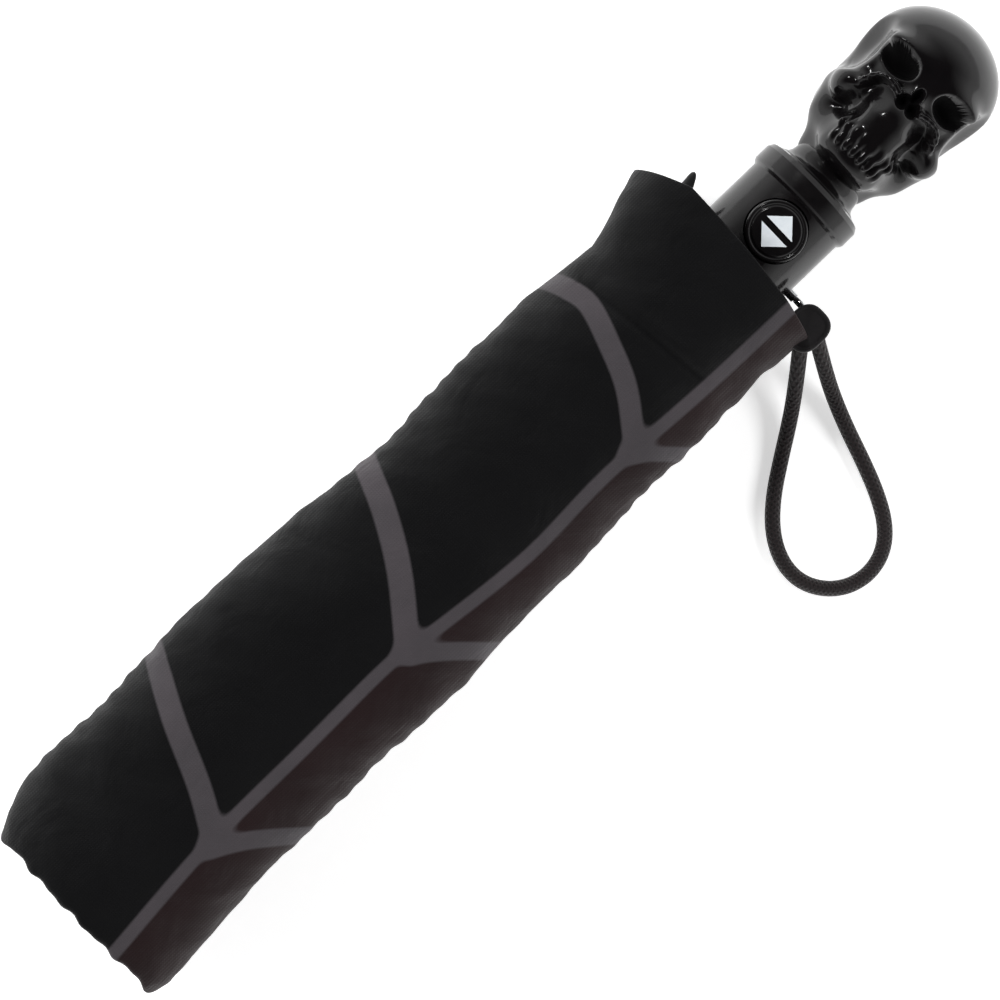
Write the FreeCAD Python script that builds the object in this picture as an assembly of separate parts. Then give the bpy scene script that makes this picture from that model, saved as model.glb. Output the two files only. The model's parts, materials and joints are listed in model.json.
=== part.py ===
"""Folded three-section umbrella with an automatic frame, lying on its side.

The shaft runs along +X towards the skull-shaped handle, at AXIS_Z above the surface it lies on.
Each rib is drawn in its own upright plane (s along the shaft from the crown, t across, r out from
the shaft) and then turned about the shaft. Millimetres throughout.
"""
import FreeCAD, Part
import math
import os

Vec = FreeCAD.Vector

# Overall layout along the shaft.
AXIS_Z = 24.0
FAR_END = -163.5
HEM_X = 70.0
CROWN_X = -150.0
COLLAR_X = 80.0
SKULL_TOP = 163.5

# Telescopic shaft: outside and inside radii, and the ends of each tube.
OUTER_R, OUTER_BORE = 6.0, 5.3
MIDDLE_R, MIDDLE_BORE = 5.25, 4.55
INNER_R, INNER_BORE = 4.5, 3.9
OUTER_SPAN = (-139.0, 98.0)
MIDDLE_SPAN = (-141.5, 72.0)
INNER_SPAN = (-154.0, 66.0)

# Rib frame.
RIBS = 6
RIB_TURN = 30.0
TOP_LENGTH = 172.0
MIDDLE_LENGTH = 118.0
TIP_LENGTH = 169.0
STRETCHER = 100.0
LAYER_R = (9.0, 12.5, 16.0)
TIP_END_R = 21.0
RIB_WIDE, RIB_DEEP = 2.4, 2.2
CHEEK_GAP, CHEEK_THICK = 1.35, 0.65
PIN_R, EYE_BORE_R, EYE_R = 0.8, 0.85, 1.45
END_GAP = 2.6
STRETCHER_SIDE = 3.0
STRETCHER_WIDE = 1.6
SEAM_TIE_S = 226.0
HEM_TIE_S = 216.0
TIE_SIDE = 3.4
CHANNEL_WALL = 0.5

# Handle collar, button and cord.
COLLAR_R, COLLAR_RIM_R, COLLAR_WALL = 15.2, 16.2, 2.2
COLLAR_END = 107.0
BUTTON_X, BUTTON_R, BUTTON_GAP = 90.0, 8.2, 0.35
BUTTON_TOP, BUTTON_BASE = 15.3, 9.2
BUTTON_TURN = 6.0
NECK_X = 112.6
STUD_R = 2.5
CORD_R = 2.1
CORD_ROUTE = [
    (76.0, -27.0, 17.4), (69.3, -33.2, 10.0), (61.6, -39.4, 4.8), (52.6, -45.4, 2.4),
    (43.8, -51.4, 2.4), (37.2, -57.8, 2.4), (33.4, -65.0, 2.4), (33.0, -72.2, 2.4),
    (36.2, -78.4, 2.4), (41.6, -82.6, 2.4), (48.4, -83.9, 2.4), (55.0, -82.0, 2.4),
    (60.2, -77.2, 2.4), (64.2, -69.8, 2.4), (67.5, -60.8, 2.4), (70.4, -51.6, 2.4),
    (73.6, -42.8, 5.0), (77.2, -34.8, 11.0), (80.8, -27.4, 18.2),
]

os.makedirs("parts", exist_ok=True)


def save(name, *solids):
    """Write one node; several solids in one node stay separate solids."""
    shape = solids[0] if len(solids) == 1 else Part.makeCompound(list(solids))
    shape.exportStep(f"parts/{name}.step")


def rod(x0, x1, radius, centre=(0.0, AXIS_Z)):
    """A cylinder along +X from x0 to x1."""
    return Part.makeCylinder(radius, x1 - x0, Vec(x0, *centre), Vec(1, 0, 0))


def pipe(span, radius, bore):
    """A tube along the shaft."""
    return rod(*span, radius).cut(rod(*span, bore))


def block(x, y, z):
    """A box between two limits on each axis."""
    return Part.makeBox(x[1] - x[0], y[1] - y[0], z[1] - z[0], Vec(x[0], y[0], z[0]))


def turned(profile):
    """A solid of revolution about the shaft from (x, radius) corners, closed along the axis."""
    corners = [(profile[0][0], 0.0)] + list(profile) + [(profile[-1][0], 0.0)]
    wire = Part.makePolygon([Vec(x, 0, AXIS_Z + r) for x, r in corners + corners[:1]])
    return Part.Face(wire).revolve(Vec(0, 0, AXIS_Z), Vec(1, 0, 0), 360)


def spring(centre, axis, radius, wire, pitch, height):
    """A round-wire helical spring that starts at centre and runs along axis."""
    path = Part.makeHelix(pitch, height, radius)
    section = Part.Wire(Part.makeCircle(wire, Vec(radius, 0, 0), Vec(0, 1, pitch / (2 * math.pi * radius))))
    coil = Part.Wire(path.Edges).makePipeShell([section], True, True)
    coil.Placement = FreeCAD.Placement(Vec(*centre), FreeCAD.Rotation(Vec(0, 0, 1), Vec(*axis)))
    return coil


def egg(centre, half):
    """An ellipsoid with the given half axes."""
    matrix = FreeCAD.Matrix()
    matrix.scale(*half)
    ball = Part.makeSphere(1.0).transformGeometry(matrix)
    ball.translate(Vec(*centre))
    return ball


def cord_tube(route, radius):
    """Straight runs joined by tangent arcs, each as large as its two runs allow."""
    points = [Vec(*p) for p in route]
    edges, start = [], points[0]
    for before, corner, after in zip(points, points[1:], points[2:]):
        inward, outward = (corner - before), (after - corner)
        run = min(inward.Length, outward.Length)
        back = corner - inward * (0.45 * run / inward.Length)
        ahead = corner + outward * (0.45 * run / outward.Length)
        chord_middle = (back + ahead) * 0.5
        to_corner = corner - chord_middle
        half_chord = (ahead - back).Length / 2
        half_turn = math.atan2(to_corner.Length, half_chord)
        print(f"cord bend radius {0.45 * run / math.tan(half_turn):.1f} mm")
        rise = half_chord * math.tan(half_turn / 2)
        peak = chord_middle + to_corner * (rise / to_corner.Length)
        edges += [Part.LineSegment(start, back).toShape(), Part.Arc(back, peak, ahead).toShape()]
        start = ahead
    edges.append(Part.LineSegment(start, points[-1]).toShape())
    section = Part.Wire(Part.makeCircle(radius, points[0], points[1] - points[0]))
    return Part.Wire(edges).makePipeShell([section], True, False)


# Shaft: three telescoping tubes and the spring that drives them apart.
save("outer_tube", pipe(OUTER_SPAN, OUTER_R, OUTER_BORE))
save("middle_tube", pipe(MIDDLE_SPAN, MIDDLE_R, MIDDLE_BORE))
save("inner_tube", pipe(INNER_SPAN, INNER_R, INNER_BORE))
save("main_spring", spring((INNER_SPAN[0] + 8, 0, AXIS_Z), (1, 0, 0), 3.0, 0.45, 9.0, 198.0))


def place_rib(solid, index):
    """Turn a part drawn in (s, t, r) about the shaft to its rib's place."""
    placed = solid.copy()
    placed.rotate(Vec(0, 0, 0), Vec(1, 0, 0), RIB_TURN + 360.0 / RIBS * index)
    placed.translate(Vec(CROWN_X, 0, AXIS_Z))
    return placed


def cross_pin(s, r, half, radius):
    """A pin across the rib's plane."""
    return Part.makeCylinder(radius, 2 * half, Vec(s, -half, r), Vec(0, 1, 0))


def channel(s0, s1, r):
    """A rib section: a pressed channel, open towards the shaft."""
    half_w, half_d = RIB_WIDE / 2, RIB_DEEP / 2
    solid = block((s0, s1), (-half_w, half_w), (r - half_d, r + half_d))
    inside = block((s0 + 4, s1 - 4), (-half_w + CHANNEL_WALL, half_w - CHANNEL_WALL),
                   (r - half_d, r + half_d - CHANNEL_WALL))
    return solid.cut(inside)


def eye(s, r, lean):
    """A bored eye joined to a rib whose middle lies at height lean from the bore."""
    width = RIB_WIDE / 2
    disc = cross_pin(s, r, width, EYE_R)
    if lean:
        disc = disc.fuse(block((s - EYE_R, s + EYE_R), (-width, width), sorted((r, r + lean))))
    return disc


def cheeks(s, r_pin, r_rib, direction):
    """Two side plates that hold a cross pin at the end of a rib."""
    low, high = sorted((r_pin, r_rib - math.copysign(RIB_DEEP / 2, r_pin - r_rib)))
    reach = sorted((s - direction * 5.0, s))
    plate = block(reach, (0, CHEEK_THICK), (low, high))
    plate = plate.fuse(Part.makeCylinder(1.3, CHEEK_THICK, Vec(s, 0, r_pin), Vec(0, 1, 0)))
    near, far = plate.copy(), plate.copy()
    near.translate(Vec(0, CHEEK_GAP, 0))
    far.translate(Vec(0, -CHEEK_GAP - CHEEK_THICK, 0))
    pin = cross_pin(s, r_pin, CHEEK_GAP + CHEEK_THICK, PIN_R)
    bridge = block(sorted((s - direction * 5.0, s - direction * 3.0)), (-CHEEK_GAP, CHEEK_GAP),
                   (r_rib - RIB_DEEP / 2, r_rib + RIB_DEEP / 2))
    return near.fuse([far, pin, bridge])


KNEE_1_R = (LAYER_R[0] + LAYER_R[1]) / 2
KNEE_2_R = (LAYER_R[1] + LAYER_R[2]) / 2
KNEE_2_S = TOP_LENGTH - MIDDLE_LENGTH
TIP_S = KNEE_2_S + TIP_LENGTH


def top_rib():
    """Crown eye, channel, rivet for the stretcher and the first knee's cheeks."""
    rib = channel(0, TOP_LENGTH - END_GAP, LAYER_R[0]).fuse(eye(0, LAYER_R[0], 0))
    rib = rib.fuse(cheeks(TOP_LENGTH, KNEE_1_R, LAYER_R[0], 1))
    stud = Part.makeCylinder(1.0, 0.8, Vec(STRETCHER, RIB_WIDE / 2 - 0.1, LAYER_R[0]), Vec(0, 1, 0))
    return rib.fuse(stud).cut(cross_pin(0, LAYER_R[0], RIB_WIDE, EYE_BORE_R))


def middle_rib():
    """First knee's eye, channel and the second knee's cheeks."""
    lean = LAYER_R[1] - KNEE_1_R
    rib = channel(KNEE_2_S + END_GAP, TOP_LENGTH - END_GAP, LAYER_R[1])
    rib = rib.fuse([eye(TOP_LENGTH, KNEE_1_R, lean),
                    block((TOP_LENGTH - 3, TOP_LENGTH + EYE_R), (-RIB_WIDE / 2, RIB_WIDE / 2),
                          (LAYER_R[1] - RIB_DEEP / 2, LAYER_R[1] + RIB_DEEP / 2))])
    rib = rib.fuse(cheeks(KNEE_2_S, KNEE_2_R, LAYER_R[1], -1))
    return rib.cut(cross_pin(TOP_LENGTH, KNEE_1_R, RIB_WIDE, EYE_BORE_R))


def tip_rib():
    """Second knee's eye and a round wire that ends in a plastic tip cap."""
    lean = LAYER_R[2] - KNEE_2_R
    start, end = Vec(KNEE_2_S, 0, LAYER_R[2]), Vec(TIP_S, 0, TIP_END_R)
    run = end - start
    wire = Part.makeCylinder(1.0, run.Length - 5.0, start, run)
    rib = wire.fuse(eye(KNEE_2_S, KNEE_2_R, lean))
    rib = rib.cut(cross_pin(KNEE_2_S, KNEE_2_R, RIB_WIDE, EYE_BORE_R))
    cap = Part.makeCone(1.2, 2.1, 9.0, end - run * (5.0 / run.Length), run)
    ball = Part.makeSphere(2.1, end + run * (4.0 / run.Length))
    return rib, cap.fuse(ball)


def stretcher():
    """A flat strut beside the top rib, from the runner's pin to the rib's rivet."""
    ends = (STRETCHER, 2 * STRETCHER)
    low, high = STRETCHER_SIDE - STRETCHER_WIDE / 2, STRETCHER_SIDE + STRETCHER_WIDE / 2
    bar = block(ends, (low, high), (LAYER_R[0] - RIB_DEEP / 2, LAYER_R[0] + RIB_DEEP / 2))
    for s in ends:
        bar = bar.fuse(Part.makeCylinder(EYE_R, STRETCHER_WIDE, Vec(s, low, LAYER_R[0]), Vec(0, 1, 0)))
    hole = Part.makeCylinder(EYE_BORE_R, 3 * STRETCHER_WIDE, Vec(ends[1], 0, LAYER_R[0]), Vec(0, 1, 0))
    return bar.cut(hole)


def tie(s, r):
    """A small folded fabric tie sewn in a canopy seam."""
    return block((s - 1.5, s + 1.5), (-TIE_SIDE - 0.4, -TIE_SIDE + 0.4), (r - 1.0, r + 1.0))


TIE_PARTS = {"seam_tie": tie(SEAM_TIE_S, LAYER_R[0]), "hem_tie": tie(HEM_TIE_S, TIP_END_R)}
for number in range(RIBS):
    save(f"top_rib_{number + 1}", place_rib(top_rib(), number))
    save(f"middle_rib_{number + 1}", place_rib(middle_rib(), number))
    save(f"tip_rib_{number + 1}", *[place_rib(piece, number) for piece in tip_rib()])
    save(f"stretcher_{number + 1}", place_rib(stretcher(), number))
    for tie_name, tie_solid in TIE_PARTS.items():
        save(f"{tie_name}_{number + 1}", place_rib(tie_solid, number))

# Crown: a notched hub on the inner tube, with a pin across each notch and a cap over the end.
crown = turned([(CROWN_X - 5, 11.5), (CROWN_X + 5, 11.5)]).cut(rod(CROWN_X - 6, CROWN_X + 6, INNER_R))
crown_pins = []
for number in range(RIBS):
    slot = block((-6, 6), (-CHEEK_GAP, CHEEK_GAP), (LAYER_R[0] - 2.2, 13))
    pin = cross_pin(0, LAYER_R[0], 2.6, PIN_R)
    crown = crown.cut(place_rib(slot, number)).cut(place_rib(pin, number))
    crown_pins.append(place_rib(pin, number))
save("crown", crown)
save("crown_pins", *crown_pins)
save("ferrule_cap", turned([(CROWN_X - 10, 8.0), (CROWN_X - 8.5, 11.0), (CROWN_X - 5, 12.0)]).cut(
    rod(INNER_SPAN[0], CROWN_X, INNER_R)))

# Runner: a sleeve over the widest tube with six pinned notches for the stretchers.
RUNNER_S = 2 * STRETCHER
runner = turned([(CROWN_X + RUNNER_S - 4, 11.2), (CROWN_X + RUNNER_S + 4, 11.2),
                 (CROWN_X + RUNNER_S + 4.01, 8.2), (CROWN_X + RUNNER_S + 18, 8.2),
                 (CROWN_X + RUNNER_S + 19, 9.4), (CROWN_X + RUNNER_S + 22, 9.4)])
runner = runner.cut(rod(CROWN_X + RUNNER_S - 5, CROWN_X + RUNNER_S + 23, OUTER_R + 0.3))
runner_pins = []
for number in range(RIBS):
    notch = block((RUNNER_S - 6, RUNNER_S + 6), (STRETCHER_SIDE - STRETCHER_WIDE / 2 - 0.2,
                  STRETCHER_SIDE + STRETCHER_WIDE / 2 + 0.2), (LAYER_R[0] - 1.7, 13))
    pin = Part.makeCylinder(PIN_R, 3.4, Vec(RUNNER_S, STRETCHER_SIDE - 1.7, LAYER_R[0]), Vec(0, 1, 0))
    runner = runner.cut(place_rib(notch, number)).cut(place_rib(pin, number))
    runner_pins.append(place_rib(pin, number))
save("runner", runner)
save("runner_pins", *runner_pins)


def oval(x, half_wide, half_high):
    """An upright oval across the shaft."""
    curve = Part.Ellipse(Vec(x, half_wide, AXIS_Z), Vec(x, 0, AXIS_Z + half_high), Vec(x, 0, AXIS_Z))
    return Part.Wire(curve.toShape())


# Furled canopy: a hollow roll of fabric, closed at the far end and flat where it lies.
roll = Part.makeLoft([oval(FAR_END, 31.6, 25.0), oval(HEM_X, 28.8, 25.0)], True)
hollow = Part.makeLoft([oval(FAR_END + 1.5, 30.1, 23.5), oval(HEM_X + 1, 27.3, 23.5)], True)
above = block((FAR_END - 1, HEM_X + 2), (-40, 40), (0, 60))
above_inside = block((FAR_END - 1, HEM_X + 2), (-40, 40), (1.5, 60))
save("furled_canopy", roll.common(above).cut(hollow.common(above_inside)))

# Closing strap: a bound tab that hangs out at the hem, with its hook patch underneath.
STRAP_Y, STRAP_Z, STRAP_HALF, STRAP_THICK = -25.0, 28.0, 5.4, 1.2
strap = block((HEM_X + 1, 79.8), (STRAP_Y - STRAP_HALF, STRAP_Y + STRAP_HALF),
              (STRAP_Z, STRAP_Z + STRAP_THICK))
strap = strap.fuse(Part.makeCylinder(STRAP_HALF, STRAP_THICK, Vec(79.8, STRAP_Y, STRAP_Z)))
save("closure_strap", strap)
save("strap_patch", block((74.0, 82.0), (STRAP_Y - 3.6, STRAP_Y + 3.6), (STRAP_Z - 0.8, STRAP_Z)))

def turn_button(solid):
    """Turn a part drawn at the top of the collar about the shaft, a little to one side."""
    placed = solid.copy()
    placed.rotate(Vec(0, 0, AXIS_Z), Vec(1, 0, 0), BUTTON_TURN)
    return placed


# Handle collar with the button well, and the stud, ring and skull beyond it.
collar = turned([(COLLAR_X, COLLAR_R - 0.6), (COLLAR_X + 0.6, COLLAR_R), (99.4, COLLAR_R),
                 (100.2, COLLAR_RIM_R - 0.3), (100.8, COLLAR_RIM_R), (105.0, COLLAR_RIM_R),
                 (106.4, COLLAR_RIM_R - 0.8), (COLLAR_END, COLLAR_RIM_R - 2.6)])
collar = collar.cut(rod(COLLAR_X + 3, COLLAR_END - 2, COLLAR_R - COLLAR_WALL))
collar = collar.cut(rod(COLLAR_X - 1, OUTER_SPAN[1], OUTER_R))
well = Part.makeCylinder(BUTTON_R + BUTTON_GAP, 14, Vec(BUTTON_X, 0, AXIS_Z + OUTER_R + 1))
ring_groove = Part.makeCylinder(BUTTON_R + 1.4, 4, Vec(BUTTON_X, 0, AXIS_Z + COLLAR_R - 0.5))
eye_stem = Part.makeCylinder(1.3, 4.4, Vec(82.6, -COLLAR_R + COLLAR_WALL, AXIS_Z - 1), Vec(0, -1, 0))
stud_hole = rod(COLLAR_END - 3, COLLAR_END + 1, STUD_R)
collar = collar.cut(turn_button(well)).cut(turn_button(ring_groove))
save("handle_collar", collar.cut(eye_stem).cut(stud_hole))
eye_ring = Part.makeTorus(2.3, 0.8, Vec(82.6, -19.6, AXIS_Z - 1), Vec(1, 0, 0))
save("cord_eye", eye_stem.fuse(eye_ring))
knot = block((75.0, 83.4), (-27.4, -22.6), (14.0, 21.2))
cord = cord_tube(CORD_ROUTE, CORD_R)
save("wrist_cord", cord)
save("cord_knot", knot.makeFillet(1.6, knot.Edges).cut(cord))

button = Part.makeCylinder(BUTTON_R, BUTTON_TOP - BUTTON_BASE, Vec(BUTTON_X, 0, AXIS_Z + BUTTON_BASE))
button = button.cut(Part.makeCylinder(3.4, 3.0, Vec(BUTTON_X, 0, AXIS_Z + BUTTON_BASE)))
save("push_button", turn_button(button))
ARROW_HALF, ARROW_GAP, ARROW_RAISE = 5.6, 0.9, 0.25
arrows = []
for side in (-1, 1):
    corners = [(side * ARROW_GAP, -ARROW_HALF + ARROW_GAP), (side * ARROW_HALF, 0),
               (side * ARROW_GAP, ARROW_HALF - ARROW_GAP)]
    wire = Part.makePolygon([Vec(BUTTON_X + x, y, AXIS_Z + BUTTON_TOP) for x, y in corners + corners[:1]])
    arrows.append(turn_button(Part.Face(wire).extrude(Vec(0, 0, ARROW_RAISE))))
save("button_arrows", *arrows)
SPRING_Y = -0.95
save("button_spring", spring((BUTTON_X, SPRING_Y, AXIS_Z + OUTER_R + 0.5), (0, 0, 1), 2.4, 0.35, 1.5, 5.2))
lever = block((BUTTON_X - 7.0, BUTTON_X - 4.4), (-3, 3), (AXIS_Z + OUTER_R + 0.1, AXIS_Z + BUTTON_BASE - 2.5))
save("latch_lever", turn_button(lever))
stud = rod(COLLAR_END - 6, NECK_X + 12, STUD_R)
save("handle_stud", stud)
save("neck_ring", turned([(COLLAR_END, 11.4), (COLLAR_END + 2.2, 11.4), (COLLAR_END + 2.8, 9.8),
                          (COLLAR_END + 3.8, 9.8), (COLLAR_END + 4.4, 10.8), (NECK_X, 10.0)]).cut(stud))

# Skull: cranium, cheeks and jaw in one casting, facing up and a little to one side.
skull = egg((142.0, 0, AXIS_Z), (SKULL_TOP - 142.0, 19.2, 21.0))
skull = skull.fuse(egg((125.5, 0, AXIS_Z + 5.5), (15.5, 14.0, 13.5))).cut(rod(COLLAR_END, NECK_X, 30.0))
skull = skull.fuse(turned([(NECK_X, 8.0), (NECK_X + 12, 8.0)]))
for socket_y in (9.2, -9.6):
    skull = skull.cut(egg((144.5, socket_y, AXIS_Z + 19.5), (4.8, 5.0, 6.5)))
skull = skull.cut(egg((137.5, -0.6, AXIS_Z + 21.0), (4.2, 2.6, 4.0)))
save("skull_handle", skull.cut(stud))
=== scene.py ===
"""A furled three-section umbrella with a cast skull handle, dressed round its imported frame.

Shapes are worked out in millimetres in the row's frame (X along the shaft to the skull, Z up from the
surface it lies on) and become metres when a mesh is made.
"""
import json
import math

import bmesh
import bpy
import numpy as np
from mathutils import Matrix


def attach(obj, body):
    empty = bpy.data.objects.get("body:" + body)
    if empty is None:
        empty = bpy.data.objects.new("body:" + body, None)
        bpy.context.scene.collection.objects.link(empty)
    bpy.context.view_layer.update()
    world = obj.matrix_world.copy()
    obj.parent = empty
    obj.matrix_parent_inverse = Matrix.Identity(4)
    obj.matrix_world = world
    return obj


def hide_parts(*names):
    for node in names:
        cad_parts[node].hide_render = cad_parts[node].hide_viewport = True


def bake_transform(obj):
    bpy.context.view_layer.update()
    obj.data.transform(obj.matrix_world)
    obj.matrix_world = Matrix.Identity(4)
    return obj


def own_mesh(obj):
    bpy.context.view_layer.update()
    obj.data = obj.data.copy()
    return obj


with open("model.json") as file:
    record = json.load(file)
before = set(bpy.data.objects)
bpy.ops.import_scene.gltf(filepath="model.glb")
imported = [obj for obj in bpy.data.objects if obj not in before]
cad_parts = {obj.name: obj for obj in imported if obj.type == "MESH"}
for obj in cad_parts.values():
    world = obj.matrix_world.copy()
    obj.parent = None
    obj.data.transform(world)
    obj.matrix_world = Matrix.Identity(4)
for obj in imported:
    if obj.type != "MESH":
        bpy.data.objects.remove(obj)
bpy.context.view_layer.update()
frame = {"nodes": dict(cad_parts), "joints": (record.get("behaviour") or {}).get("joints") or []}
nodes = frame["nodes"]

# The view: straight down on the umbrella, turned so that it runs from corner to corner.
# A long lens keeps the outline flat.
VIEW_CENTRE, VIEW_WIDTH, VIEW_DISTANCE = (-0.009, -0.002), 0.260, 1.2
AXIS_Z = 24.0
SENSOR_MM = 36.0
camera_data = bpy.data.cameras.new("camera")
camera_data.sensor_width = SENSOR_MM
camera_data.lens = SENSOR_MM * VIEW_DISTANCE / VIEW_WIDTH
camera = bpy.data.objects.new("camera", camera_data)
camera.location = (*VIEW_CENTRE, AXIS_Z / 1000 + VIEW_DISTANCE)
camera.rotation_euler = (0, 0, math.radians(-43.9))
bpy.context.scene.collection.objects.link(camera)
bpy.context.scene.camera = camera


# Floor and light: white paper under a soft tent, darker overhead, so that gloss is black in the
# middle and pale along the outline.
def paint(code):
    """Linear RGBA of an sRGB hex colour."""
    channels = np.array([int(code[k:k + 2], 16) for k in (1, 3, 5)]) / 255
    low, high = channels / 12.92, ((channels + 0.055) / 1.055) ** 2.4
    return (*np.where(channels <= 0.04045, low, high), 1.0)


def add(tree, kind, inputs=(), **settings):
    """Adds one node, sets its properties, and fills the inputs with values or with other sockets."""
    made = tree.nodes.new("ShaderNode" + kind)
    for name, value in settings.items():
        setattr(made, name, value)
    for name, value in dict(inputs).items():
        if isinstance(value, bpy.types.NodeSocket):
            tree.links.new(value, made.inputs[name])
        else:
            made.inputs[name].default_value = value
    return made


def new_material(name):
    """An empty material and its node tree."""
    material = bpy.data.materials.new(name)
    material.use_nodes = True
    material.node_tree.nodes.clear()
    return material, material.node_tree


def finish(name, shades, patch, rough, depth, sockets=()):
    """A finish that drifts between two shades and two roughnesses over patches of that width in metres.

    depth is the height of the same unevenness in metres; sockets are the shader's constants."""
    material, tree = new_material(name)
    place = add(tree, "TexCoord").outputs["Object"]
    cloud = add(tree, "TexNoise", {"Vector": place, "Scale": 1 / patch, "Detail": 4.0}).outputs["Fac"]
    colour = add(tree, "Mix", {0: cloud, 6: paint(shades[0]), 7: paint(shades[1])}, data_type="RGBA")
    gloss = add(tree, "MapRange", {"Value": cloud, "To Min": rough[0], "To Max": rough[1]})
    bump = add(tree, "Bump", {"Height": cloud, "Distance": depth})
    shader = add(tree, "BsdfPrincipled", {"Base Color": colour.outputs[2], "Roughness": gloss.outputs[0],
                                          "Normal": bump.outputs[0], **dict(sockets)})
    add(tree, "OutputMaterial", {"Surface": shader.outputs[0]})
    return material


# Paper: matte, with a faint tooth, lit from below like a light table so that shadows stay faint.
paper = finish("white_paper", ("#F8F8F8", "#FFFFFF"), 0.004, (0.9, 1.0), 0.00002,
               {"Emission Color": paint("#FFFFFF"), "Emission Strength": 0.55})
FLOOR_HALF = 3.0
floor_mesh = bpy.data.meshes.new("floor")
floor_mesh.from_pydata([(-FLOOR_HALF, -FLOOR_HALF, 0), (FLOOR_HALF, -FLOOR_HALF, 0),
                        (FLOOR_HALF, FLOOR_HALF, 0), (-FLOOR_HALF, FLOOR_HALF, 0)], [], [(0, 1, 2, 3)])
floor_mesh.materials.append(paper)
floor = bpy.data.objects.new("floor", floor_mesh)
bpy.context.scene.collection.objects.link(floor)

world = bpy.data.worlds.new("tent")
world.use_nodes = True
world.node_tree.nodes.clear()
sky = add(world.node_tree, "TexCoord").outputs["Generated"]
height = add(world.node_tree, "SeparateXYZ", {0: sky}).outputs["Z"]
tent = add(world.node_tree, "MapRange", {"Value": height, "From Min": 0.25, "From Max": 0.8,
                                         "To Min": 0.95, "To Max": 0.02})
background = add(world.node_tree, "Background", {"Color": paint("#FFFFFF"), "Strength": tent.outputs[0]})
add(world.node_tree, "OutputWorld", {"Surface": background.outputs[0]})
bpy.context.scene.world = world
bpy.context.scene.view_settings.view_transform = "Standard"

# Two wide softboxes light the cloth and don't show in the gloss; a small one gives the highlights.
SOFTBOXES = [((-0.5, 0.9, 0.9), 0.5, 13.0, False), ((0.9, -0.7, 1.0), 0.5, 11.0, False),
             ((0.5, 0.8, 1.1), 0.12, 3.0, True)]
for number, (place, side, watts, shows) in enumerate(SOFTBOXES):
    lamp = bpy.data.lights.new(f"softbox_{number + 1}", "AREA")
    lamp.energy, lamp.size = watts, side
    lamp_object = bpy.data.objects.new(f"softbox_{number + 1}", lamp)
    lamp_object.location, lamp_object.visible_glossy = place, shows
    aim = -np.array(place)
    tilt = math.acos(-aim[2] / np.linalg.norm(aim))
    lamp_object.rotation_euler = (tilt, 0, math.atan2(aim[1], aim[0]) - math.pi / 2)
    bpy.context.scene.collection.objects.link(lamp_object)


# Wrist cord: a limp braided polyester cord, 4.2 mm thick, crimped into a loop at the collar.
# It runs down from the eye, lies on the surface, and comes back up to the crimp.
CORD_DIAMETER, CORD_LENGTH = 0.0042, 0.158
CORD_ROUTE = [
    (76.0, -27.0, 17.4), (69.3, -33.2, 10.0), (61.6, -39.4, 4.8), (52.6, -45.4, 2.4),
    (43.8, -51.4, 2.4), (37.2, -57.8, 2.4), (33.4, -65.0, 2.4), (33.0, -72.2, 2.4),
    (36.2, -78.4, 2.4), (41.6, -82.6, 2.4), (48.4, -83.9, 2.4), (55.0, -82.0, 2.4),
    (60.2, -77.2, 2.4), (64.2, -69.8, 2.4), (67.5, -60.8, 2.4), (70.4, -51.6, 2.4),
    (73.6, -42.8, 5.0), (77.2, -34.8, 11.0), (80.8, -27.4, 18.2),
]
# Braid: matte near-black yarn. The strands cross every 1.6 mm, coarser than real so that they show.
BRAID_REPEATS, BRAID_STRANDS = 99.0, 8.0
braid, tree = new_material("braided_polyester")
place = add(tree, "TexCoord").outputs["UV"]
parts = add(tree, "SeparateXYZ", {0: place})
along = add(tree, "Math", {0: parts.outputs[0], 1: 2 * math.pi * BRAID_REPEATS},
            operation="MULTIPLY").outputs[0]
around = add(tree, "Math", {0: parts.outputs[1], 1: 2 * math.pi * BRAID_STRANDS},
             operation="MULTIPLY").outputs[0]
one_way = add(tree, "Math", {0: along, 1: around}).outputs[0]
other_way = add(tree, "Math", {0: along, 1: around}, operation="SUBTRACT").outputs[0]
left = add(tree, "Math", {0: one_way}, operation="SINE").outputs[0]
right = add(tree, "Math", {0: other_way}, operation="SINE").outputs[0]
strand = add(tree, "Math", {0: left, 1: right}, operation="MAXIMUM").outputs[0]
level = add(tree, "MapRange", {"Value": strand, "From Min": -1.0}).outputs[0]
# The colour is paler on the strands' crests and darker between them, a painted highlight and painted shade on
# the near-black yarn.
colour = add(tree, "Mix", {0: level, 6: paint("#0A0808"), 7: paint("#221B1C")}, data_type="RGBA")
bump = add(tree, "Bump", {"Height": level, "Distance": 0.0003})
shader = add(tree, "BsdfPrincipled", {"Base Color": colour.outputs[2], "Roughness": 0.75,
                                      "Sheen Weight": 0.15, "Normal": bump.outputs[0]})
add(tree, "OutputMaterial", {"Surface": shader.outputs[0]})

cord_curve = bpy.data.curves.new("wrist_cord_braid", "CURVE")
cord_curve.dimensions = "3D"
spline = cord_curve.splines.new("NURBS")
spline.points.add(len(CORD_ROUTE) - 1)
weighted_route = np.column_stack([np.array(CORD_ROUTE) / 1000, np.ones(len(CORD_ROUTE))])
spline.points.foreach_set("co", weighted_route.ravel())
spline.order_u = 3
spline.use_endpoint_u = True
spline.resolution_u = 10
cord_curve.bevel_depth, cord_curve.bevel_resolution = CORD_DIAMETER / 2, 6
cord_curve.use_fill_caps = True
cord_curve.materials.append(braid)
wrist_cord = bpy.data.objects.new("wrist_cord_braid", cord_curve)
bpy.context.scene.collection.objects.link(wrist_cord)
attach(wrist_cord, "handle")
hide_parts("wrist_cord")


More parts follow.
